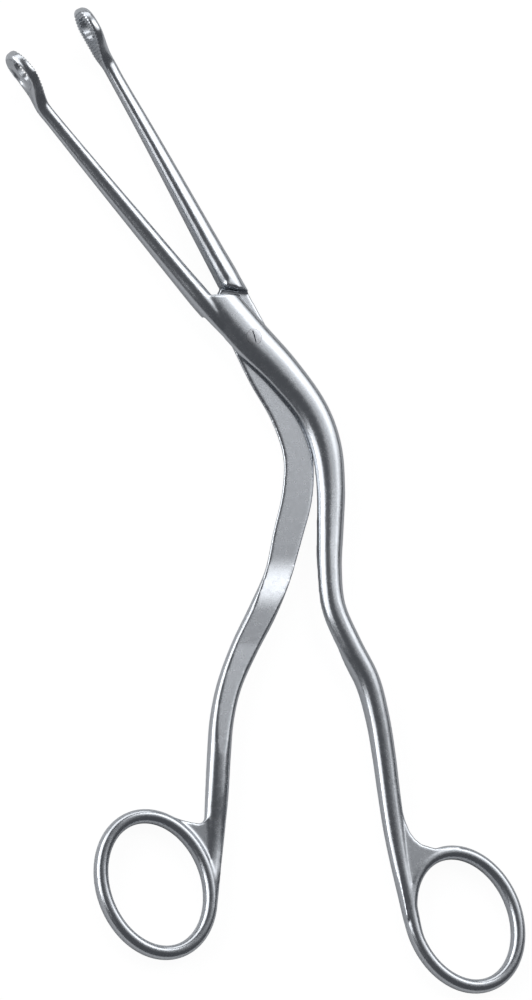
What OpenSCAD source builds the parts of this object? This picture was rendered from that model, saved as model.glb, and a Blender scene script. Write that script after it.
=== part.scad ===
// Angled catheter forceps: two forged arms crossing at a lap joint, held by one screw.
// It lies on its back face: X to the right, Y away, Z up, origin on the pivot axis.

/* [Jaws] */
// Distance from the pivot to the tip of the loops
jaw_length = 90.3; // [75:0.1:110]
// Lean of the back arm's jaw from the Y axis, in degrees
jaw_lean = 27.1; // [15:0.1:40]
// How far the jaws stand open, in degrees
opening = 12.7; // [6:0.1:20]
// Distance of the meeting plane of the jaws from the pivot
meeting_offset = 0.9; // [0:0.1:1.5]
// Gap left between the loops when the jaws are closed
meeting_gap = 0.2; // [0.1:0.05:0.5]
// How far the front arm's jaw bows towards the other one at its tip
front_bow = 0.2; // [0:0.1:1.2]
// How far the back arm's jaw bows towards the other one at its tip
back_bow = 0.9; // [0:0.1:1.2]
// Width of the front arm's jaw rod where it leaves the joint
front_rod_width = 5; // [4.2:0.1:6]
// Width of the back arm's jaw rod where it leaves the joint
back_rod_width = 5.6; // [4.5:0.1:6.5]
// Width of a jaw rod at its neck
neck_width = 3.4; // [2.8:0.1:5]
// Depth of a jaw rod at its neck
neck_depth = 3.3; // [2.5:0.1:5]
// How far a rod's inner side stands back from the loop's face at the neck
neck_relief = 0.4; // [0.2:0.1:1]

/* [Loops] */
// Height of a loop across its face
loop_height = 9.3; // [7:0.1:12]
// Length of a loop from the tip to the neck
loop_length = 15.5; // [14:0.5:20]
// Thickness of a loop
loop_thickness = 2.8; // [1.8:0.1:3.4]
// Length of the rounded nose of a loop
nose_reach = 5.5; // [4.5:0.1:7]
// Length of the oval window
window_length = 6.2; // [4:0.1:7]
// Height of the oval window
window_height = 4.6; // [3:0.1:5.5]
// Width of the rim between window and tip
window_rim = 2.4; // [1.5:0.1:3]
// Distance between two serrations
serration_pitch = 0.76; // [0.6:0.02:1.2]
// Depth of a serration
serration_depth = 0.3; // [0.15:0.05:0.4]

/* [Joint] */
// Width of the arms over the pivot
joint_width = 10.2; // [8:0.1:12]
// Depth of both arms together at the joint
joint_depth = 6; // [5:0.1:8]
// Running gap between the two lap faces
lap_gap = 0.08; // [0.04:0.01:0.15]
// Distance from the pivot to the shoulders that stop the jaws
shoulder_reach = 14; // [11:0.2:16]
// Slope of the shoulders across the arm, in degrees
shoulder_slope = 34; // [20:1:50]
// Gap between shoulder and step with the jaws closed
shoulder_gap = 0.5; // [0.3:0.1:1]
// Radius of the screw's shank
screw_radius = 1.9; // [1.5:0.1:2.5]
// Running clearance around the screw's shank
screw_clearance = 0.05; // [0.02:0.01:0.1]
// Radius of the screw's countersunk head
head_radius = 3.1; // [2.6:0.1:3.6]
// Depth of the head's cone
head_depth = 1.2; // [0.8:0.1:1.6]
// Width of the screwdriver slot
slot_width = 0.8; // [0.5:0.1:1.2]
// Depth of the screwdriver slot
slot_depth = 0.7; // [0.4:0.1:1]

/* [Shanks] */
// Width of a shank where the flats end
shank_width = 6; // [5:0.1:7.5]
// Distance in Y from the pivot to the end of the lap flats
flat_reach = 67; // [58:1:72]
// Length over which a flat rises at its end
flat_runout = 14; // [8:1:18]
// How far a flat rises over that length
flat_rise = 0.9; // [0.4:0.1:1.2]

/* [Rings] */
// Length of a finger ring's opening
ring_length = 29.8; // [26:0.2:34]
// Width of a finger ring's opening
ring_width = 22.4; // [18:0.2:26]
// Width of the ring's band
band_width = 3.4; // [3:0.1:5]
// Depth of the ring's band
band_depth = 4.2; // [3.5:0.1:5.5]
// Height of the flat web between ring and shank
web_height = 3.4; // [2.5:0.1:4]

/* [Hidden] */

steel = [0.74, 0.75, 0.77];
screw_steel = [0.66, 0.67, 0.70];

part_level = joint_depth / 2;
front_lean = jaw_lean + opening;
face_offset = meeting_gap / 2;
loop_start = jaw_length - loop_length;
window_centre = jaw_length - window_rim - window_length / 2;
web_floor = 0.9;
jaw_floor = 0.05;
loop_corner = 0.45;
first_groove = 0.58;
groove_lead = 0.05;
groove_share = 0.38;
groove_margin = 0.1;
nose_land = floor((nose_reach - first_groove) / serration_pitch);
loop_steps = round((loop_length - nose_reach) / serration_pitch / 2);
relief_lead = 4;
far = 60;
round_power = 0.86;
loop_power = 0.5;
corner_cut = 1 - cos(45);
bow_start = jaw_length / 2;
back_steps = 10;
round_sides = 18;

// Points on the plan: distance s along a jaw and offset x from the pivot's centre line
function ahead(lean) = [-sin(lean), cos(lean)];
function aside(lean) = [cos(lean), sin(lean)];
function bow_at(s, bow) = -bow * pow(max(s - bow_start, 0) / (jaw_length - bow_start), 2);
function land_at(k) = jaw_length - first_groove - (k + 0.5) * serration_pitch;
function jaw_point(lean, s, x) = s * ahead(lean) + x * aside(lean);

// Smooth curve through way-points, for rows of any length
function blend(a, b, c, d, t) =
    0.5 * (2 * b + (c - a) * t + (2 * a - 5 * b + 4 * c - d) * t * t
    + (3 * b - a - 3 * c + d) * t * t * t);
function curve(rows, steps) = [
    for (i = [0 : len(rows) - 2], k = [0 : steps - 1])
        blend(rows[max(i - 1, 0)], rows[i], rows[i + 1], rows[min(i + 2, len(rows) - 1)],
              k / steps),
    rows[len(rows) - 1]
];
function power(v, p) = sign(v) * pow(abs(v), p);
function ease(t) = (1 - cos(180 * min(max(t, 0), 1))) / 2;
function mix(a, b, t) = a + (b - a) * t;

// Section of a jaw: flat inner face at x = 0 with rounded corners, crowned back at x = width
function jaw_section(width, low, high, corner, round) =
    let (mid = (low + high) / 2, half = (high - low) / 2)
    concat(
        [for (k = [0 : back_steps])
            let (a = -90 + 180 * k / back_steps)
            [corner + (width - corner) * power(cos(a), round),
             mid + half * power(sin(a), round)]],
        [[corner * corner_cut, high - corner * corner_cut], [0, high - corner],
         [0, low + corner], [corner * corner_cut, low + corner * corner_cut]]
    );
// Section of a shank or band: a squared oval about x = 0, with a narrow flat at top and bottom
function oval_section(width, low, high) =
    let (half = (high - low) / 2 / power(cos(180 / round_sides), round_power))
    [
        for (k = [0 : round_sides - 1])
            let (a = 360 * k / round_sides)
            [width / 2 * power(cos(a), round_power), (low + high) / 2 + half * power(sin(a), round_power)]
    ];

// Solid through a chain of sections; each lies across the path, which has [x, y] points
module sweep(path, sections, closed = false) {
    n = len(path);
    m = len(sections[0]);
    points = [
        for (i = [0 : n - 1])
            let (
                before = closed ? path[(i + n - 1) % n] : path[max(i - 1, 0)],
                after = closed ? path[(i + 1) % n] : path[min(i + 1, n - 1)],
                way = after - before,
                across = [way[1], -way[0]] / norm(way)
            )
            for (q = sections[i])
                [path[i][0] + across[0] * q[0], path[i][1] + across[1] * q[0], q[1]]
    ];
    sides = [
        for (i = [0 : n - (closed ? 1 : 2)], k = [0 : m - 1])
            let (
                a = i * m + k,
                b = i * m + (k + 1) % m,
                c = ((i + 1) % n) * m + (k + 1) % m,
                d = ((i + 1) % n) * m + k
            )
            each [[a, b, d], [b, c, d]]
    ];
    caps = closed ? [] : [
        [for (k = [m - 1 : -1 : 0]) k],
        [for (k = [0 : m - 1]) (n - 1) * m + k]
    ];
    polyhedron(points, concat(sides, caps));
}

// Loop at distance s: share of its rise, upper and lower edge, rounding of the inner corners
function loop_share(s) = 1 - (land_at(nose_land) - s) / (2 * loop_steps * serration_pitch);
function nose_share(s) = sqrt(1 - pow(max(1 - (jaw_length - s) / nose_reach, 0), 2));
function loop_high(s) = loop_share(s) > 1 ? loop_height / 2 * (1 + nose_share(s))
    : mix(neck_depth, loop_height, ease(loop_share(s) * 1.1));
function loop_low(s) = max(jaw_floor, loop_height / 2 * (1 - nose_share(s)));
function loop_edge(s) = mix(1.1, loop_corner, ease(loop_share(s) * 2));

// Jaw in its own frame: Y along the jaw, X = 0 the meeting plane, the jaw on its +X side
// Rows hold distance, set-back of the inner side, width, top height, corner and roundness
function jaw_rows(rod_width) = concat(
    [
        [4, 0, rod_width - 0.8, joint_depth, 2.1, round_power],
        [14, 0, rod_width, joint_depth, 2.1, round_power],
        [24, neck_relief * 0.2, mix(rod_width, neck_width, 0.15), joint_depth * 0.9, 1.9, round_power],
        [40, neck_relief * 0.5, mix(rod_width, neck_width, 0.45),
         mix(joint_depth, neck_depth, 0.5), 1.6, round_power],
        [56, neck_relief * 0.8, mix(rod_width, neck_width, 0.75),
         mix(joint_depth, neck_depth, 0.8), 1.3, round_power],
        [loop_start - 5, neck_relief, neck_width, neck_depth, 1.1, round_power]
    ],
    [
        for (j = [loop_steps : -1 : 0])
            let (s = land_at(nose_land + 2 * j), t = loop_share(s))
            [s, neck_relief * (1 - ease(t * 2)), mix(neck_width, loop_thickness, ease(t)),
             loop_high(s), loop_edge(s), mix(round_power, loop_power, ease(t))]
    ]
);
// Nose rows hold distance, thickness and the share of the loop's height
nose_rows = [
    for (s = concat([for (k = [nose_land - 1 : -1 : 0]) land_at(k)],
                    [for (a = [64 : 13 : 90]) jaw_length - nose_reach * (1 - sin(a))]))
        let (rise = 1 - (jaw_length - s) / nose_reach)
        [s, loop_thickness - pow(rise, 6), sqrt(1 - rise * rise)]
];

module jaw_blank(rod_width, bow) {
    rows = curve(jaw_rows(rod_width), 2);
    body_path = [for (r = rows) [bow_at(r[0], bow), r[0]]];
    body = [
        for (r = rows)
            [for (q = jaw_section(r[2], jaw_floor, r[3], r[4], r[5])) [q[0] + r[1], q[1]]]
    ];
    nose_path = [for (r = nose_rows) [bow_at(r[0], bow), r[0]]];
    nose = [
        for (r = nose_rows)
            let (half = max(loop_height / 2 * r[2], 0.8), mid = loop_height / 2)
            jaw_section(r[1], mid - half, mid + half, loop_corner, loop_power)
    ];
    sweep(concat(body_path, nose_path), concat(body, nose));
}

module jaw_cuts(bow) {
    // Oval window
    translate([-2, window_centre, loop_height / 2])
        rotate([0, 90, 0])
            scale([window_height / window_length, 1, 1])
                cylinder(h = 8, d = window_length, $fn = 36);
    // Serrations across the inner face, short of its rounded edges
    count = floor(loop_length * 0.8 / serration_pitch);
    mouth = serration_pitch * groove_share * (1 + groove_lead / serration_depth);
    for (k = [1 : count])
        let (
            s = jaw_length - first_groove - k * serration_pitch,
            near = s - serration_pitch / 2,
            beyond = s + serration_pitch / 2,
            low = max(loop_low(near), loop_low(beyond)) + groove_margin,
            high = min(loop_high(near), loop_high(beyond)) - groove_margin
        )
        translate([bow_at(s, bow), s, low + loop_edge(near)])
            linear_extrude(high - low - 2 * loop_edge(near))
                polygon([[-groove_lead, -mouth], [serration_depth, 0], [-groove_lead, mouth]]);
}

// Jaw on its side of the meeting plane: side is 1 for the back arm and -1 for the front arm
module jaw(side, lean, rod_width, bow) {
    rotate([0, 0, lean])
        translate([-meeting_offset, 0, 0])
            mirror([side < 0 ? 1 : 0, 0, 0])
                translate([face_offset, 0, 0])
                    difference() {
                        jaw_blank(rod_width, bow);
                        jaw_cuts(bow);
                    }
}

// Everything beyond the shoulder line of the joint, at a set reach along the jaw
module beyond_shoulder(side, lean, reach) {
    rotate([0, 0, lean])
        translate([-meeting_offset, reach, -1])
            rotate([0, 0, -side * shoulder_slope])
                translate([-far, 0, 0])
                    cube([2 * far, far, 2 * joint_depth]);
}

// Finger rings: centre and lean of the long axis
front_ring = [49.4, -140.5];
front_ring_lean = 22;
back_ring = [-27, -132.9];
back_ring_lean = 19;
ring_steps = 44;

function ring_point(grow, a) =
    [(ring_width / 2 + grow) * cos(a), (ring_length / 2 + grow) * sin(a)];
function on_band(centre, lean, a) =
    let (p = ring_point(band_width / 2, a))
    centre + p[0] * [cos(lean), sin(lean)] + p[1] * [-sin(lean), cos(lean)];

// Way-points of the arms from the joint to the ring: x, y, width and top height
front_rows = [
    concat(jaw_point(front_lean, 18, -0.2), [joint_width - 0.4, joint_depth]),
    concat(jaw_point(front_lean, 9, -0.2), [joint_width, joint_depth]),
    [0, 0, joint_width, joint_depth],
    [7.5, -7.7, 9.3, joint_depth],
    [14.6, -17, 8.4, joint_depth],
    [18, -26, 7.9, joint_depth],
    [18.9, -36, 7.2, joint_depth],
    [18.4, -46, 6.7, joint_depth + 0.2],
    [17.8, -56, shank_width + 0.2, joint_depth + 0.6],
    [18.4, -65.5, shank_width + 0.2, joint_depth + 0.9],
    [22.1, -74.5, shank_width + 0.3, joint_depth + 0.8],
    [26.6, -83, shank_width, joint_depth + 0.3],
    [29, -92, shank_width - 0.3, 5.8],
    [30.4, -101, 5.6, 5.3],
    [31.4, -110, 5.4, 4.9],
    [32.5, -119, 5.2, 4.6],
    [33.7, -127, 4.6, 4.4],
    concat(on_band(front_ring, front_ring_lean, 150), [3.8, band_depth]),
    concat(on_band(front_ring, front_ring_lean, 165), [band_width, band_depth]),
    concat(on_band(front_ring, front_ring_lean, 180), [band_width, band_depth])
];
back_rows = [
    concat(jaw_point(jaw_lean, 18, 0.2), [joint_width - 1.2, joint_depth]),
    concat(jaw_point(jaw_lean, 9, 0.2), [joint_width - 0.4, joint_depth]),
    [0.1, 0, joint_width, joint_depth],
    [4, -8.5, 9.9, joint_depth],
    [8.6, -18, 8.6, joint_depth],
    [11.2, -28, 7.6, joint_depth],
    [10.7, -38, 7.7, joint_depth],
    [8, -48, 7.4, joint_depth],
    [5.3, -57.5, 6.6, 5.2],
    [1.3, -66.5, 6.9, 4.4],
    [-3.5, -75.5, 6.6, 4.4],
    [-7.5, -84.5, shank_width, 4.6],
    [-9.7, -93, shank_width - 0.2, 4.8],
    [-10.7, -102, 5.7, 4.8],
    [-11.4, -111, 5.6, 4.5],
    [-12, -118, 5.2, 3.9],
    [-12.7, -125, 4.8, 3.6],
    [-13.3, -131, 4.2, 3.8],
    concat(on_band(back_ring, back_ring_lean, -30), [band_width, band_depth]),
    concat(on_band(back_ring, back_ring_lean, -44), [band_width, band_depth])
];

module shank(rows) {
    fine = curve(rows, 2);
    sweep([for (r = fine) [r[0], r[1]]], [for (r = fine) oval_section(r[2], 0, r[3])]);
}

module ring() {
    path = [for (k = [0 : ring_steps - 1]) ring_point(band_width / 2, 360 * k / ring_steps)];
    sweep(path, [for (p = path) oval_section(band_width, 0, band_depth)], closed = true);
}

module ring_opening() {
    linear_extrude(joint_depth + 2, center = true)
        polygon([for (k = [0 : ring_steps - 1]) ring_point(band_width / 2, 360 * k / ring_steps)]);
}

// Flat web in the corner between ring and shank; notch is the rounding in the corner
module web(ring_at, lean, outline, notch) {
    difference() {
        translate([0, 0, web_floor])
            linear_extrude(web_height - web_floor)
                difference() {
                    polygon(outline);
                    translate([notch[0], notch[1]])
                        circle(r = notch[2], $fn = 40);
                }
        translate([ring_at[0], ring_at[1], 0])
            rotate([0, 0, lean])
                ring_opening();
    }
}

// Space milled away above the back arm's flat: level at the joint, rising at its end
module above_flat() {
    rise = [
        for (t = [0 : 0.125 : 1])
            [flat_runout * (1 - t) - flat_reach, part_level - lap_gap / 2 + flat_rise * ease(t)]
    ];
    translate([-far, 0, 0])
        rotate([90, 0, 90])
            linear_extrude(2 * far)
                polygon(concat(
                    [[far, 2 * joint_depth], [far, part_level - lap_gap / 2]],
                    rise,
                    [[-flat_reach - 8, part_level + flat_rise], [-flat_reach - 38, joint_depth - 1.1],
                     [-flat_reach - 38, 2 * joint_depth]]
                ));
}

// Space milled away below the front arm's flat: it rises ahead of the other and drops past it
module below_flat() {
    start = flat_runout + relief_lead - flat_reach;
    rise = [
        for (t = [0 : 0.125 : 1])
            [start - flat_runout * t, part_level + lap_gap / 2 + (flat_rise + 0.1) * ease(t)]
    ];
    last = rise[len(rise) - 1];
    drop = [
        for (t = [0 : 0.125 : 1])
            [-flat_reach - 7 - flat_runout * t, mix(last[1], -0.3, ease(t))]
    ];
    translate([-far, 0, 0])
        rotate([90, 0, 90])
            linear_extrude(2 * far)
                polygon(concat(
                    [[far, -joint_depth], [far, part_level + lap_gap / 2]],
                    rise,
                    drop,
                    [[-flat_reach - 7 - flat_runout, -joint_depth]]
                ));
}

module arm_blank(side, lean, rod_width, bow, rows, ring_at, ring_lean, web_outline, web_notch) {
    jaw(side, lean, rod_width, bow);
    difference() {
        shank(rows);
        beyond_shoulder(-side, lean, shoulder_reach);
    }
    translate([ring_at[0], ring_at[1], 0])
        rotate([0, 0, ring_lean])
            ring();
    web(ring_at, ring_lean, web_outline, web_notch);
}

front_web = [[31.5, -112], [35, -113], [41.9, -118.9], [47.6, -123.4], [47.6, -127],
             [38, -135], [35.5, -141], [33.5, -132]];
front_notch = [41.9, -118.7, 5.3];
back_web = [[-15.2, -113], [-11, -113], [-10.9, -134], [-12.6, -134], [-17, -128],
            [-24, -119], [-21.6, -117.2], [-18.5, -117.9], [-16, -118.4]];
back_notch = [-16.6, -117.3, 0.7];

module front_arm() {
    color(steel)
        difference() {
            resize([0, 0, 0])
                difference() {
                    arm_blank(-1, front_lean, front_rod_width, front_bow, front_rows,
                              front_ring, front_ring_lean, front_web, front_notch);
                    difference() {
                        below_flat();
                        beyond_shoulder(-1, front_lean, shoulder_reach + shoulder_gap);
                    }
                }
            translate([0, 0, -1])
                cylinder(h = joint_depth + 2, r = screw_radius + screw_clearance, $fn = 48);
        }
}

module back_arm() {
    color(steel)
        difference() {
            resize([0, 0, 0])
                difference() {
                    arm_blank(1, jaw_lean, back_rod_width, back_bow, back_rows,
                              back_ring, back_ring_lean, back_web, back_notch);
                    difference() {
                        above_flat();
                        beyond_shoulder(1, jaw_lean, shoulder_reach + shoulder_gap);
                    }
                }
            translate([0, 0, -1])
                cylinder(h = joint_depth + 2, r = screw_radius + screw_clearance, $fn = 48);
            translate([0, 0, -0.01])
                cylinder(h = head_depth, r1 = head_radius + screw_clearance,
                         r2 = screw_radius + screw_clearance, $fn = 48);
        }
}

module joint_screw() {
    color(screw_steel)
        difference() {
            union() {
                cylinder(h = joint_depth - 0.1, r = screw_radius, $fn = 48);
                cylinder(h = head_depth, r1 = head_radius, r2 = screw_radius, $fn = 48);
            }
            translate([-head_radius - 1, -slot_width / 2, -1])
                cube([2 * head_radius + 2, slot_width, slot_depth + 1]);
        }
}

front_arm();
back_arm();
joint_screw();
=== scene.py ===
import math

import bmesh
import bpy
import numpy as np
from mathutils import Matrix, Vector


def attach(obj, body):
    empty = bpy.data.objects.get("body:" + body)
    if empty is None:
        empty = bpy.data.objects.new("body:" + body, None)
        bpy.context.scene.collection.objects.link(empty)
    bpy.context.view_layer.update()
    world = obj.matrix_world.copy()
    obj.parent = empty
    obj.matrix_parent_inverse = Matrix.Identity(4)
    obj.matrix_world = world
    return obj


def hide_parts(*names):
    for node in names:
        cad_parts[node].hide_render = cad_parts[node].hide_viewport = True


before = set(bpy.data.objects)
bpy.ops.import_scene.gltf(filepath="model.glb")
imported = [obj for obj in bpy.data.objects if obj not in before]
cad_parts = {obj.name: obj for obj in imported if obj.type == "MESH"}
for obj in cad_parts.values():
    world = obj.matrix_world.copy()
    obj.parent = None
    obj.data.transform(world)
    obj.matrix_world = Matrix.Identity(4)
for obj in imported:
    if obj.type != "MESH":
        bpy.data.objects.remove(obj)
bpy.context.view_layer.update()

MM = 0.001

# Sizes in millimetres, the same values as the part's source
JAW_LENGTH = 90.3
JAW_LEAN = 27.1
OPENING = 12.7
FRONT_LEAN = JAW_LEAN + OPENING
MEETING_OFFSET = 0.9
FACE_OFFSET = 0.1
NECK_WIDTH, NECK_DEPTH, NECK_RELIEF = 3.4, 3.3, 0.4
LOOP_HEIGHT, LOOP_LENGTH, LOOP_THICKNESS = 9.3, 15.5, 2.8
NOSE_REACH = 5.5
WINDOW_LENGTH, WINDOW_HEIGHT, WINDOW_RIM = 6.2, 4.6, 2.4
SERRATION_PITCH, SERRATION_DEPTH = 0.76, 0.42
JOINT_WIDTH, JOINT_DEPTH, LAP_GAP = 10.2, 6.0, 0.08
PART_LEVEL = JOINT_DEPTH / 2
SHOULDER_REACH, SHOULDER_SLOPE, SHOULDER_GAP = 14.0, 34.0, 0.5
SCREW_RADIUS, SCREW_CLEARANCE = 1.9, 0.05
HEAD_RADIUS, HEAD_DEPTH = 3.1, 1.2
SHANK_WIDTH = 6.0
FLAT_REACH, FLAT_RUNOUT, FLAT_RISE = 67.0, 14.0, 0.9
RELIEF_LEAD = 4.0
RING_LENGTH, RING_WIDTH = 29.8, 22.4
BAND_WIDTH, BAND_DEPTH = 3.4, 4.2
WEB_FLOOR, WEB_HEIGHT = 0.9, 3.4
JAW_FLOOR = 0.05
FRONT_RING, FRONT_RING_LEAN = (49.4, -140.5), 22.0
BACK_RING, BACK_RING_LEAN = (-27.0, -132.9), 19.0
ROUND_POWER, LOOP_POWER = 0.86, 0.5
LOOP_START = JAW_LENGTH - LOOP_LENGTH
LOOP_CORNER = 0.45
DISH_DEPTH, DISH_RIM = 2.35, 1.8
FIRST_GROOVE = 0.58
NOSE_START = JAW_LENGTH - FIRST_GROOVE - 6.5 * SERRATION_PITCH
FAR = 60.0
RING_STEPS = 160
SECTION_SIDES = 40
STEPS = 8


def power(v, p):
    return math.copysign(abs(v) ** p, v)


def ease(t):
    return (1 - math.cos(math.pi * min(max(t, 0.0), 1.0))) / 2


def mix(a, b, t):
    return a + (b - a) * t


def turn(p, degrees):
    c, s = math.cos(math.radians(degrees)), math.sin(math.radians(degrees))
    return (p[0] * c - p[1] * s, p[0] * s + p[1] * c)


def jaw_point(lean, s, x):
    return turn((x, s), lean)


def curve(rows, steps):
    """Catmull-Rom curve through rows of numbers."""
    rows = [np.array(r, float) for r in rows]
    out = []
    for i in range(len(rows) - 1):
        a, b = rows[max(i - 1, 0)], rows[i]
        c, d = rows[i + 1], rows[min(i + 2, len(rows) - 1)]
        for k in range(steps):
            t = k / steps
            out.append(0.5 * (2 * b + (c - a) * t + (2 * a - 5 * b + 4 * c - d) * t * t
                              + (3 * b - a - 3 * c + d) * t ** 3))
    return out + [rows[-1]]


def jaw_section(width, low, high, corner, form):
    """Flat inner face at x = 0 with rounded corners and a crowned back at x = width."""
    mid, half = (low + high) / 2, (high - low) / 2
    points = []
    for k in range(SECTION_SIDES // 2 + 1):
        a = math.radians(-90 + 180 * k / (SECTION_SIDES // 2))
        points.append((corner + (width - corner) * power(math.cos(a), form),
                       mid + half * power(math.sin(a), form)))
    for k in range(1, 5):
        a = math.radians(90 * k / 4)
        points.append((corner - corner * math.sin(a), high - corner + corner * math.cos(a)))
    inner = 6
    for k in range(1, inner):
        points.append((0.0, mix(high - corner, low + corner, k / inner)))
    for k in range(4):
        a = math.radians(90 * k / 4)
        points.append((corner - corner * math.cos(a), low + corner - corner * math.sin(a)))
    return points


def oval_section(width, low, high):
    """A squared oval with a narrow flat at top and bottom."""
    half = (high - low) / 2 / power(math.cos(math.radians(10)), ROUND_POWER)
    mid = (low + high) / 2
    points = []
    for k in range(SECTION_SIDES):
        a = 2 * math.pi * (k + 0.5) / SECTION_SIDES
        z = mid + half * power(math.sin(a), ROUND_POWER)
        points.append((width / 2 * power(math.cos(a), ROUND_POWER), min(max(z, low), high)))
    return points


def mesh_object(name, verts, faces):
    data = bpy.data.meshes.new(name)
    data.from_pydata([tuple(map(float, v)) for v in verts], [], faces)
    data.update()
    obj = bpy.data.objects.new(name, data)
    bpy.context.collection.objects.link(obj)
    bm = bmesh.new()
    bm.from_mesh(data)
    bmesh.ops.remove_doubles(bm, verts=bm.verts, dist=1e-5)
    bmesh.ops.recalc_face_normals(bm, faces=bm.faces)
    bm.to_mesh(data)
    bm.free()
    return obj


def sweep(name, path, sections, closed=False):
    """Solid through sections that lie across a path in the plan."""
    n, m = len(path), len(sections[0])
    path = [np.array(p, float) for p in path]
    verts = []
    for i in range(n):
        before = path[(i - 1) % n] if closed else path[max(i - 1, 0)]
        after = path[(i + 1) % n] if closed else path[min(i + 1, n - 1)]
        way = after - before
        across = np.array([way[1], -way[0]]) / np.linalg.norm(way)
        for q in sections[i]:
            verts.append((path[i][0] + across[0] * q[0], path[i][1] + across[1] * q[0], q[1]))
    faces = []
    for i in range(n if closed else n - 1):
        for k in range(m):
            a, b = i * m + k, i * m + (k + 1) % m
            c, d = ((i + 1) % n) * m + (k + 1) % m, ((i + 1) % n) * m + k
            faces.append((a, b, c, d))
    if not closed:
        faces.append(tuple(range(m - 1, -1, -1)))
        faces.append(tuple((n - 1) * m + k for k in range(m)))
    return mesh_object(name, verts, faces)


def prism(name, outline, low, high, place=None):
    """Upright prism over an outline; place moves each [x, y, z] point."""
    n = len(outline)
    verts = [(x, y, low) for x, y in outline] + [(x, y, high) for x, y in outline]
    if place:
        verts = [place(v) for v in verts]
    faces = [tuple(range(n - 1, -1, -1)), tuple(range(n, 2 * n))]
    faces += [(i, (i + 1) % n, n + (i + 1) % n, n + i) for i in range(n)]
    return mesh_object(name, verts, faces)


def boolean(target, other, operation, keep=False):
    """target becomes the union with, or difference from, other."""
    modifier = target.modifiers.new("cut", "BOOLEAN")
    modifier.operation = operation
    modifier.solver = "MANIFOLD"
    modifier.object = other
    apply_modifiers(target)
    if not keep:
        bpy.data.objects.remove(other)
    return target


def apply_modifiers(obj):
    depsgraph = bpy.context.evaluated_depsgraph_get()
    depsgraph.update()
    data = bpy.data.meshes.new_from_object(obj.evaluated_get(depsgraph))
    obj.modifiers.clear()
    old = obj.data
    obj.data = data
    bpy.data.meshes.remove(old)


def bow_at(s, bow):
    start = JAW_LENGTH / 2
    return -bow * (max(s - start, 0) / (JAW_LENGTH - start)) ** 2


def jaw_rows(rod_width):
    rows = [
        (-9, 0.7, rod_width - 2.2, 3.2, 1.2, ROUND_POWER),
        (3, 0.3, rod_width - 1.1, 4.9, 1.8, ROUND_POWER),
        (14, 0, rod_width, JOINT_DEPTH, 2.1, ROUND_POWER),
        (24, NECK_RELIEF * 0.2, mix(rod_width, NECK_WIDTH, 0.15), JOINT_DEPTH * 0.9, 1.9, ROUND_POWER),
        (40, NECK_RELIEF * 0.5, mix(rod_width, NECK_WIDTH, 0.45),
         mix(JOINT_DEPTH, NECK_DEPTH, 0.5), 1.6, ROUND_POWER),
        (56, NECK_RELIEF * 0.8, mix(rod_width, NECK_WIDTH, 0.75),
         mix(JOINT_DEPTH, NECK_DEPTH, 0.8), 1.3, ROUND_POWER),
        (LOOP_START - 5, NECK_RELIEF, NECK_WIDTH, NECK_DEPTH, 1.1, ROUND_POWER),
    ]
    for k in range(8):
        t = k / 7
        rows.append((NOSE_START - 2 * SERRATION_PITCH * (7 - k), NECK_RELIEF * (1 - ease(t * 2)),
                     mix(NECK_WIDTH, LOOP_THICKNESS, ease(t)),
                     mix(NECK_DEPTH, LOOP_HEIGHT, ease(t * 1.1)), mix(1.1, LOOP_CORNER, ease(t * 2)),
                     mix(ROUND_POWER, LOOP_POWER, ease(t))))
    return rows


def place_on(obj, side, lean):
    """From the jaw's own frame, Y along the jaw, to the plan; side -1 mirrors it."""
    data = obj.data
    co = np.empty(len(data.vertices) * 3)
    data.vertices.foreach_get("co", co)
    co = co.reshape(-1, 3)
    x = (co[:, 0] + FACE_OFFSET) * side - MEETING_OFFSET
    c, s = math.cos(math.radians(lean)), math.sin(math.radians(lean))
    out = np.stack([x * c - co[:, 1] * s, x * s + co[:, 1] * c, co[:, 2]], 1)
    data.vertices.foreach_set("co", out.ravel())
    if side < 0:
        data.flip_normals()
    data.update()
    return obj


def jaw_solid(name, side, lean, rod_width, bow):
    rows = curve(jaw_rows(rod_width), 6)
    path = [(bow_at(r[1 - 1], bow), r[0]) for r in rows]
    sections = [[(q[0] + r[1], q[1]) for q in jaw_section(r[2], JAW_FLOOR, r[3], r[4], r[5])] for r in rows]
    mid = LOOP_HEIGHT / 2
    for k in range(28):
        a = math.radians(mix(4, 90, (k / 27) ** 0.85))
        s = JAW_LENGTH - NOSE_REACH * (1 - math.sin(a))
        if s <= rows[-1][0] + 0.1:
            continue
        half = max(mid * math.cos(a), 0.8)
        path.append((bow_at(s, bow), s))
        thick = LOOP_THICKNESS - math.sin(a) ** 6
        sections.append(jaw_section(thick, mid - half, mid + half, LOOP_CORNER, LOOP_POWER))
    return place_on(sweep(name, path, sections), side, lean)


def jaw_tools(name, side, lean, bow):
    """The window's cutter and the serrations' cutter."""
    centre = JAW_LENGTH - WINDOW_RIM - WINDOW_LENGTH / 2
    ring = [(centre + WINDOW_LENGTH / 2 * math.cos(2 * math.pi * k / 64),
             LOOP_HEIGHT / 2 + WINDOW_HEIGHT / 2 * math.sin(2 * math.pi * k / 64)) for k in range(64)]
    window = prism(name + "_window", ring, -3, 7, lambda v: (v[2], v[0], v[1]))
    place_on(window, side, lean)
    # One comb of V-shaped teeth
    count = int(LOOP_LENGTH * 0.93 / SERRATION_PITCH)
    tools = []
    for k in range(1, count + 1):
        s = JAW_LENGTH - FIRST_GROOVE - k * SERRATION_PITCH
        x = bow_at(s, bow)
        half = SERRATION_PITCH * 0.42
        outline = [(x - 1, s - half), (x, s - half), (x + SERRATION_DEPTH - 0.03, s - 0.05),
                   (x + SERRATION_DEPTH - 0.03, s + 0.05), (x, s + half), (x - 1, s + half)]
        tools.append(place_on(prism(name + "_groove", outline, -1, LOOP_HEIGHT + 1), side, lean))
    return window, tools


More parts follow.
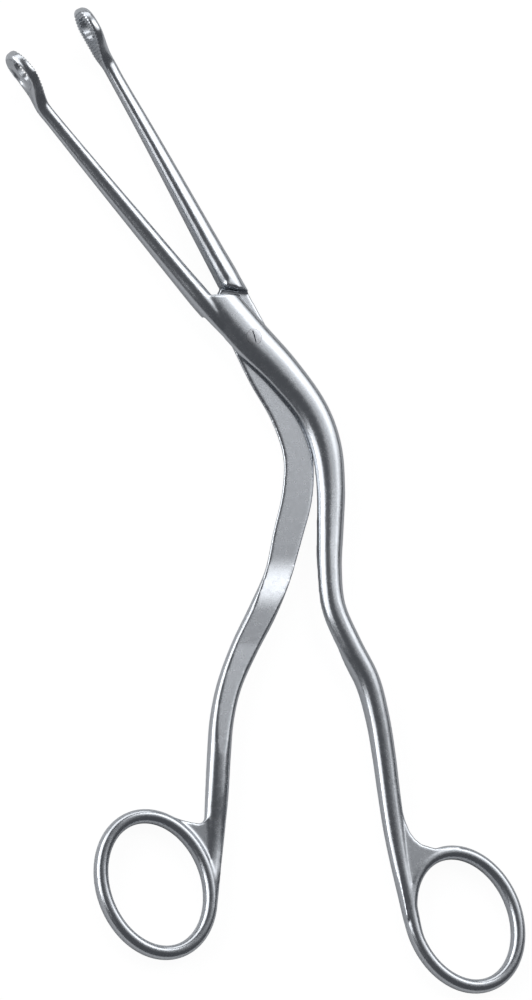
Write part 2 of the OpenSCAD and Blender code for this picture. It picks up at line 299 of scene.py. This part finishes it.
def beyond_shoulder(name, side, lean, reach, low, high):
    """Block that covers everything beyond the shoulder line."""
    box = [(-FAR, 0), (FAR, 0), (FAR, FAR), (-FAR, FAR)]
    points = []
    for p in box:
        q = turn(p, -side * SHOULDER_SLOPE)
        points.append(turn((q[0] - MEETING_OFFSET, q[1] + reach), lean))
    return prism(name, points, low, high)


def side_prism(name, outline):
    """Prism along X over an outline of [y, z] points."""
    return prism(name, outline, -FAR, FAR, lambda v: (v[2], v[0], v[1]))


def above_flat():
    level = PART_LEVEL - LAP_GAP / 2
    rise = [(FLAT_RUNOUT * (1 - k / 24) - FLAT_REACH, level + FLAT_RISE * ease(k / 24))
            for k in range(25)]
    outline = [(FAR, 2 * JOINT_DEPTH), (FAR, level)] + rise + [
        (-FLAT_REACH - 8, PART_LEVEL + FLAT_RISE), (-FLAT_REACH - 38, JOINT_DEPTH - 1.1),
        (-FLAT_REACH - 38, 2 * JOINT_DEPTH)]
    return side_prism("above_flat", outline)


def below_flat():
    level = PART_LEVEL + LAP_GAP / 2
    start = FLAT_RUNOUT + RELIEF_LEAD - FLAT_REACH
    rise = [(start - FLAT_RUNOUT * k / 24, level + (FLAT_RISE + 0.1) * ease(k / 24))
            for k in range(25)]
    drop = [(-FLAT_REACH - 7 - FLAT_RUNOUT * k / 24, mix(rise[-1][1], -0.3, ease(k / 24)))
            for k in range(25)]
    outline = [(FAR, -JOINT_DEPTH), (FAR, level)] + rise + drop + [
        (-FLAT_REACH - 7 - FLAT_RUNOUT, -JOINT_DEPTH)]
    return side_prism("below_flat", outline)


def ring_point(grow, a):
    a = math.radians(a)
    return ((RING_WIDTH / 2 + grow) * math.cos(a), (RING_LENGTH / 2 + grow) * math.sin(a))


def on_band(centre, lean, a):
    p = turn(ring_point(BAND_WIDTH / 2, a), lean)
    return (centre[0] + p[0], centre[1] + p[1])


def ring_solid(name, centre, lean):
    path = [on_band(centre, lean, 360 * k / RING_STEPS) for k in range(RING_STEPS)]
    return sweep(name, path, [oval_section(BAND_WIDTH, 0, BAND_DEPTH)] * RING_STEPS, closed=True)


def circle(x, y, r, n=64):
    return [(x + r * math.cos(2 * math.pi * k / n), y + r * math.sin(2 * math.pi * k / n))
            for k in range(n)]


def web_solid(name, outline, height, centre, lean):
    web = prism(name, outline, WEB_FLOOR, height)
    hole = [on_band(centre, lean, 360 * k / RING_STEPS) for k in range(RING_STEPS)]
    return boolean(web, prism("hole", hole, -1, 9), "DIFFERENCE")


FRONT_ROWS = [
    (*jaw_point(FRONT_LEAN, 18, -0.2), JOINT_WIDTH - 0.4, JOINT_DEPTH),
    (*jaw_point(FRONT_LEAN, 9, -0.2), JOINT_WIDTH, JOINT_DEPTH),
    (0, 0, JOINT_WIDTH, JOINT_DEPTH),
    (7.5, -7.7, 9.3, JOINT_DEPTH),
    (14.6, -17, 8.4, JOINT_DEPTH),
    (18, -26, 7.9, JOINT_DEPTH),
    (18.9, -36, 7.2, JOINT_DEPTH),
    (18.4, -46, 6.7, JOINT_DEPTH + 0.2),
    (17.8, -56, SHANK_WIDTH + 0.2, JOINT_DEPTH + 0.6),
    (18.4, -65.5, SHANK_WIDTH + 0.2, JOINT_DEPTH + 0.9),
    (22.1, -74.5, SHANK_WIDTH + 0.3, JOINT_DEPTH + 0.8),
    (26.6, -83, SHANK_WIDTH, JOINT_DEPTH + 0.3),
    (29, -92, SHANK_WIDTH - 0.3, 5.8),
    (30.4, -101, 5.6, 5.3),
    (31.4, -110, 5.4, 4.9),
    (32.5, -119, 5.2, 4.6),
    (33.7, -127, 4.6, 4.4),
    (35.0, -134, 4.2, 4.3),
    (36.1, -140, 3.8, BAND_DEPTH),
    (*on_band(FRONT_RING, FRONT_RING_LEAN, 180), BAND_WIDTH, BAND_DEPTH),
    (*on_band(FRONT_RING, FRONT_RING_LEAN, 198), BAND_WIDTH - 0.4, BAND_DEPTH - 0.3),
    (*on_band(FRONT_RING, FRONT_RING_LEAN, 214), BAND_WIDTH - 1, BAND_DEPTH - 0.8),
]
BACK_ROWS = [
    (*jaw_point(JAW_LEAN, 18, 0.2), JOINT_WIDTH - 1.2, JOINT_DEPTH),
    (*jaw_point(JAW_LEAN, 9, 0.2), JOINT_WIDTH - 0.4, JOINT_DEPTH),
    (0.1, 0, JOINT_WIDTH, JOINT_DEPTH),
    (4, -8.5, 9.9, JOINT_DEPTH),
    (8.6, -18, 8.6, JOINT_DEPTH),
    (11.2, -28, 7.6, JOINT_DEPTH),
    (10.7, -38, 7.7, JOINT_DEPTH),
    (8, -48, 7.4, JOINT_DEPTH),
    (5.3, -57.5, 6.6, 5.2),
    (1.3, -66.5, 6.9, 4.4),
    (-3.5, -75.5, 6.6, 4.4),
    (-7.5, -84.5, SHANK_WIDTH, 4.6),
    (-9.7, -93, SHANK_WIDTH - 0.2, 4.8),
    (-10.7, -102, 5.7, 4.8),
    (-11.4, -111, 5.6, 4.5),
    (-12, -118, 5.2, 3.9),
    (-12.7, -125, 4.8, 3.6),
    (-13.3, -131, 4.2, 3.8),
    (*on_band(BACK_RING, BACK_RING_LEAN, -30), BAND_WIDTH, BAND_DEPTH),
    (*on_band(BACK_RING, BACK_RING_LEAN, -46), BAND_WIDTH - 0.4, BAND_DEPTH - 0.3),
    (*on_band(BACK_RING, BACK_RING_LEAN, -62), BAND_WIDTH - 1, BAND_DEPTH - 0.8),
]
FRONT_WEB = [(30.8, -108.0), (33.8, -110.8), (34.2, -114.4), (34.9, -117.0), (36.0, -119.8),
             (37.2, -121.4), (38.8, -122.7), (42.1, -123.6), (45.4, -123.2), (48.1, -123.0),
             (47.6, -126.0), (38.0, -135.0), (34.5, -141.0), (33.0, -132.0)]
BACK_WEB = [(-28.2, -115.1), (-24.6, -116.1), (-20.9, -117.4), (-18.5, -118.0),
            (-16.7, -118.3), (-15.5, -118.2), (-14.7, -117.5), (-14.0, -116.3),
            (-13.6, -114.6), (-13.3, -112.7), (-9.1, -112.5), (-9.3, -115.0), (-9.9, -118.4),
            (-10.5, -122.5), (-11.0, -126.7), (-11.3, -130.8), (-11.9, -134.9),
            (-12.7, -137.4), (-15.4, -139.0), (-13.9, -131.0), (-17.5, -124.0), (-24.0, -118.5)]


def shank_solid(name, rows):
    fine = curve(rows, STEPS)
    return sweep(name, [(r[0], r[1]) for r in fine], [oval_section(r[2], 0, r[3]) for r in fine])


def loop_dish(name, side, lean):
    """Hollow in the loop's outer side that leaves a thin rim round the window."""
    bm = bmesh.new()
    bmesh.ops.create_uvsphere(bm, u_segments=64, v_segments=32, radius=1.0)
    centre = JAW_LENGTH - WINDOW_RIM - WINDOW_LENGTH / 2
    for v in bm.verts:
        v.co = Vector((LOOP_THICKNESS + 0.3 + v.co.x * DISH_DEPTH,
                       centre + v.co.y * (WINDOW_LENGTH / 2 + DISH_RIM),
                       LOOP_HEIGHT / 2 + v.co.z * (WINDOW_HEIGHT / 2 + DISH_RIM)))
    data = bpy.data.meshes.new(name + "_dish")
    bm.to_mesh(data)
    bm.free()
    obj = bpy.data.objects.new(name + "_dish", data)
    bpy.context.collection.objects.link(obj)
    return place_on(obj, side, lean)


def soften(obj, voxel, rounds):
    """Even mesh whose edges and joins are rounded as on a ground and polished forging."""
    remesh = obj.modifiers.new("even", "REMESH")
    remesh.mode = "VOXEL"
    remesh.voxel_size = voxel
    relax = obj.modifiers.new("relax", "SMOOTH")
    relax.factor = 0.5
    relax.iterations = rounds
    apply_modifiers(obj)


def arm(name, side, lean, rod_width, bow, rows, ring, ring_lean, web):
    body = shank_solid(name, rows)
    boolean(body, beyond_shoulder("shoulder", -side, lean, SHOULDER_REACH, -3, 15), "DIFFERENCE")
    boolean(body, jaw_solid("jaw", side, lean, rod_width, bow), "UNION")
    boolean(body, ring_solid("ring", ring, ring_lean), "UNION")
    boolean(body, web_solid("web", web, WEB_HEIGHT if side > 0 else BAND_DEPTH - 0.1, ring, ring_lean), "UNION")
    flat = above_flat() if side > 0 else below_flat()
    boolean(flat, beyond_shoulder("step", side, lean, SHOULDER_REACH + SHOULDER_GAP, -9, 20),
            "DIFFERENCE")
    boolean(body, flat, "DIFFERENCE")
    boolean(body, loop_dish(name, side, lean), "DIFFERENCE")
    soften(body, 0.275, 8)
    window, grooves = jaw_tools(name, side, lean, bow)
    boolean(body, window, "DIFFERENCE")
    for groove in grooves:
        boolean(body, groove, "DIFFERENCE")
    plug = None
    if side < 0:
        plug = body.copy()
        plug.data = body.data.copy()
        bpy.context.collection.objects.link(plug)
        core = prism("core", circle(0, 0, SCREW_RADIUS, 96), PART_LEVEL + 0.2, JOINT_DEPTH + 2)
        boolean(plug, core, "INTERSECT")
    bore = prism("bore", circle(0, 0, SCREW_RADIUS + SCREW_CLEARANCE, 96), -2, JOINT_DEPTH + 2)
    boolean(body, bore, "DIFFERENCE")
    return body, plug


def to_metres(obj):
    obj.data.transform(Matrix.Scale(MM, 4))
    obj.data.update()
    return obj


def smooth(obj, degrees=32):
    for polygon in obj.data.polygons:
        polygon.use_smooth = True
    obj.data.set_sharp_from_angle(angle=math.radians(degrees))
    return obj


def steel(name, colour, roughness, grain, bump):
    """Ground and polished steel: fine grain in roughness and bump, no direction."""
    material = bpy.data.materials.new(name)
    material.use_nodes = True
    nodes, links = material.node_tree.nodes, material.node_tree.links
    shader = nodes["Principled BSDF"]
    shader.inputs["Base Color"].default_value = (*colour, 1)
    shader.inputs["Metallic"].default_value = 1.0
    shader.inputs["Roughness"].default_value = roughness
    place = nodes.new("ShaderNodeTexCoord")
    noise = nodes.new("ShaderNodeTexNoise")
    noise.inputs["Scale"].default_value = grain
    noise.inputs["Detail"].default_value = 4.0
    links.new(place.outputs["Object"], noise.inputs["Vector"])
    spread = nodes.new("ShaderNodeMapRange")
    spread.inputs["To Min"].default_value = roughness * 0.75
    spread.inputs["To Max"].default_value = roughness * 1.3
    links.new(noise.outputs["Fac"], spread.inputs["Value"])
    links.new(spread.outputs["Result"], shader.inputs["Roughness"])
    fine = nodes.new("ShaderNodeTexNoise")
    fine.inputs["Scale"].default_value = grain * 6
    fine.inputs["Detail"].default_value = 2.0
    links.new(place.outputs["Object"], fine.inputs["Vector"])
    relief = nodes.new("ShaderNodeBump")
    relief.inputs["Strength"].default_value = bump
    relief.inputs["Distance"].default_value = 0.0001
    links.new(fine.outputs["Fac"], relief.inputs["Height"])
    links.new(relief.outputs["Normal"], shader.inputs["Normal"])
    return material


arm_steel = steel("arm_steel", (0.575, 0.60, 0.635), 0.25, 900.0, 0.02)
screw_steel = steel("screw_steel", (0.51, 0.525, 0.555), 0.28, 1200.0, 0.03)

front, plug = arm("front_arm_detail", -1, FRONT_LEAN, 5.0, 0.2, FRONT_ROWS, FRONT_RING,
                  FRONT_RING_LEAN, FRONT_WEB)
back, _ = arm("back_arm_detail", 1, JAW_LEAN, 5.6, 0.9, BACK_ROWS, BACK_RING, BACK_RING_LEAN,
              BACK_WEB)
head_cut = mesh_object("head_cut", *(lambda low, high, r1, r2, n: (
    [(r1 * math.cos(2 * math.pi * k / n), r1 * math.sin(2 * math.pi * k / n), low) for k in range(n)]
    + [(r2 * math.cos(2 * math.pi * k / n), r2 * math.sin(2 * math.pi * k / n), high) for k in range(n)],
    [tuple(range(n - 1, -1, -1)), tuple(range(n, 2 * n))]
    + [(i, (i + 1) % n, n + (i + 1) % n, n + i) for i in range(n)]))(
        -0.01, HEAD_DEPTH, HEAD_RADIUS + SCREW_CLEARANCE, SCREW_RADIUS + SCREW_CLEARANCE, 96))
boolean(back, head_cut, "DIFFERENCE")

for obj, body, node in ((front, "front_body", "front_arm"), (back, "back_body", "back_arm")):
    to_metres(obj)
    smooth(obj, 48)
    obj.data.materials.clear()
    obj.data.materials.append(arm_steel)
    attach(obj, body)
    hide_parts(node)
    print(obj.name, "triangles", sum(len(p.vertices) - 2 for p in obj.data.polygons))


def lathe(name, profile, n=96):
    verts, faces = [], []
    for r, z in profile:
        verts += [(r * math.cos(2 * math.pi * k / n), r * math.sin(2 * math.pi * k / n), z)
                  for k in range(n)]
    m = len(profile)
    for i in range(m - 1):
        for k in range(n):
            faces.append((i * n + k, i * n + (k + 1) % n, (i + 1) * n + (k + 1) % n, (i + 1) * n + k))
    faces.append(tuple(range(n - 1, -1, -1)))
    faces.append(tuple((m - 1) * n + k for k in range(n)))
    return mesh_object(name, verts, faces)


screw = lathe("joint_screw_detail", [
    (HEAD_RADIUS - 0.12, 0.0), (HEAD_RADIUS, 0.08), (HEAD_RADIUS - 0.02, 0.14),
    (SCREW_RADIUS, HEAD_DEPTH), (SCREW_RADIUS, PART_LEVEL + 0.4)])
boolean(screw, plug, "UNION")
mark = [turn(p, 12) for p in [(-0.22, -1.5), (0.22, -1.5), (0.22, 1.5), (-0.22, 1.5)]]
boolean(screw, prism("mark", mark, JOINT_DEPTH - 0.35, JOINT_DEPTH + 2), "DIFFERENCE")
boolean(screw, prism("slot", [(-4, -0.4), (4, -0.4), (4, 0.4), (-4, 0.4)], -1, 0.7), "DIFFERENCE")
to_metres(screw)
smooth(screw)
screw.data.materials.clear()
screw.data.materials.append(screw_steel)
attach(screw, "front_body")
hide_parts("joint_screw")

# Floor: white to the camera, with the object's own soft shadow, and a paler grey in reflections
floor = mesh_object("floor", [(-3, -3, -0.0004), (3, -3, -0.0004), (3, 3, -0.0004), (-3, 3, -0.0004)],
                    [(0, 1, 2, 3)])
floor_material = bpy.data.materials.new("floor_white")
floor_material.use_nodes = True
nodes, links = floor_material.node_tree.nodes, floor_material.node_tree.links
nodes.clear()
out = nodes.new("ShaderNodeOutputMaterial")
diffuse = nodes.new("ShaderNodeBsdfDiffuse")
diffuse.inputs["Color"].default_value = (0.9, 0.9, 0.9, 1)
white = nodes.new("ShaderNodeEmission")
white.inputs["Color"].default_value = (1, 1, 1, 1)
white.inputs["Strength"].default_value = 1.1
path = nodes.new("ShaderNodeLightPath")
share = nodes.new("ShaderNodeMath")
share.operation = "MULTIPLY"
share.inputs[1].default_value = 0.86
links.new(path.outputs["Is Camera Ray"], share.inputs[0])
blend = nodes.new("ShaderNodeMixShader")
links.new(share.outputs[0], blend.inputs["Fac"])
links.new(diffuse.outputs[0], blend.inputs[1])
links.new(white.outputs[0], blend.inputs[2])
links.new(blend.outputs[0], out.inputs["Surface"])
floor.data.materials.append(floor_material)

world = bpy.data.worlds.new("studio")
bpy.context.scene.world = world
world.use_nodes = True
background = world.node_tree.nodes["Background"]
background.inputs["Color"].default_value = (0.9, 0.93, 1.0, 1)
background.inputs["Strength"].default_value = 0.1


def area(name, direction, distance, size, watts, colour=(1, 1, 1)):
    """Soft area light that faces the middle of the object."""
    data = bpy.data.lights.new(name, "AREA")
    data.shape = "RECTANGLE"
    data.size, data.size_y = size
    data.energy = watts
    data.color = colour
    obj = bpy.data.objects.new(name, data)
    bpy.context.collection.objects.link(obj)
    d = Vector(direction).normalized()
    target = Vector((0.0, -0.04, 0.0))
    obj.location = target + d * distance
    obj.rotation_euler = (target - obj.location).to_track_quat("-Z", "Y").to_euler()
    return obj


area("key", (0.62, 0.48, 0.62), 2.4, (1.9, 1.9), 12.5)
area("key_core", (0.63, 0.48, 0.62), 2.4, (0.85, 0.85), 2.0)
area("overhead", (0.44, 0.32, 0.84), 2.4, (1.2, 1.2), 2.4)
area("glint", (0.27, 0.46, 0.85), 2.4, (0.67, 0.67), 2.8)
area("left", (-1.0, 0.3, 0.6), 2.4, (2.6, 1.5), 21.0)
area("edge", (-1.0, 0.25, 0.2), 2.4, (2.6, 0.6), 17.0)
area("far", (-0.2, 1.0, 0.45), 2.4, (2.6, 1.2), 16.0)

# Camera: the photograph's angle, 20 degrees off the vertical, towards the lower left
TILT = math.radians(20.0)
TOWARDS = Vector((-0.819, -0.574)).normalized()
DISTANCE = 1.5
PIXEL = 0.2405 * MM
ca, sa = math.cos(TILT), math.sin(TILT)
away = Vector((sa * TOWARDS.x, sa * TOWARDS.y, ca))
right = Vector((1 - (1 - ca) * TOWARDS.x ** 2, -(1 - ca) * TOWARDS.x * TOWARDS.y, -sa * TOWARDS.x))
up = Vector((-(1 - ca) * TOWARDS.x * TOWARDS.y, 1 - (1 - ca) * TOWARDS.y ** 2, -sa * TOWARDS.y))
focal = DISTANCE / PIXEL
ray = -away * focal + right * (250.8 - 266) + up * (500 - 339.4)
reach = -DISTANCE * away.z / ray.z
offset = away * DISTANCE + ray * reach
aim = Vector((-offset.x, -offset.y, 0.003))
camera_data = bpy.data.cameras.new("camera")
camera_data.sensor_width = 36
camera_data.lens = focal / 1000 * 36
camera_data.clip_end = 10
camera = bpy.data.objects.new("camera", camera_data)
bpy.context.collection.objects.link(camera)
position = aim + away * DISTANCE
camera.matrix_world = Matrix(((right.x, up.x, away.x, position.x), (right.y, up.y, away.y, position.y),
                              (right.z, up.z, away.z, position.z), (0, 0, 0, 1)))
bpy.context.scene.camera = camera
bpy.context.scene.view_settings.view_transform = "Standard"
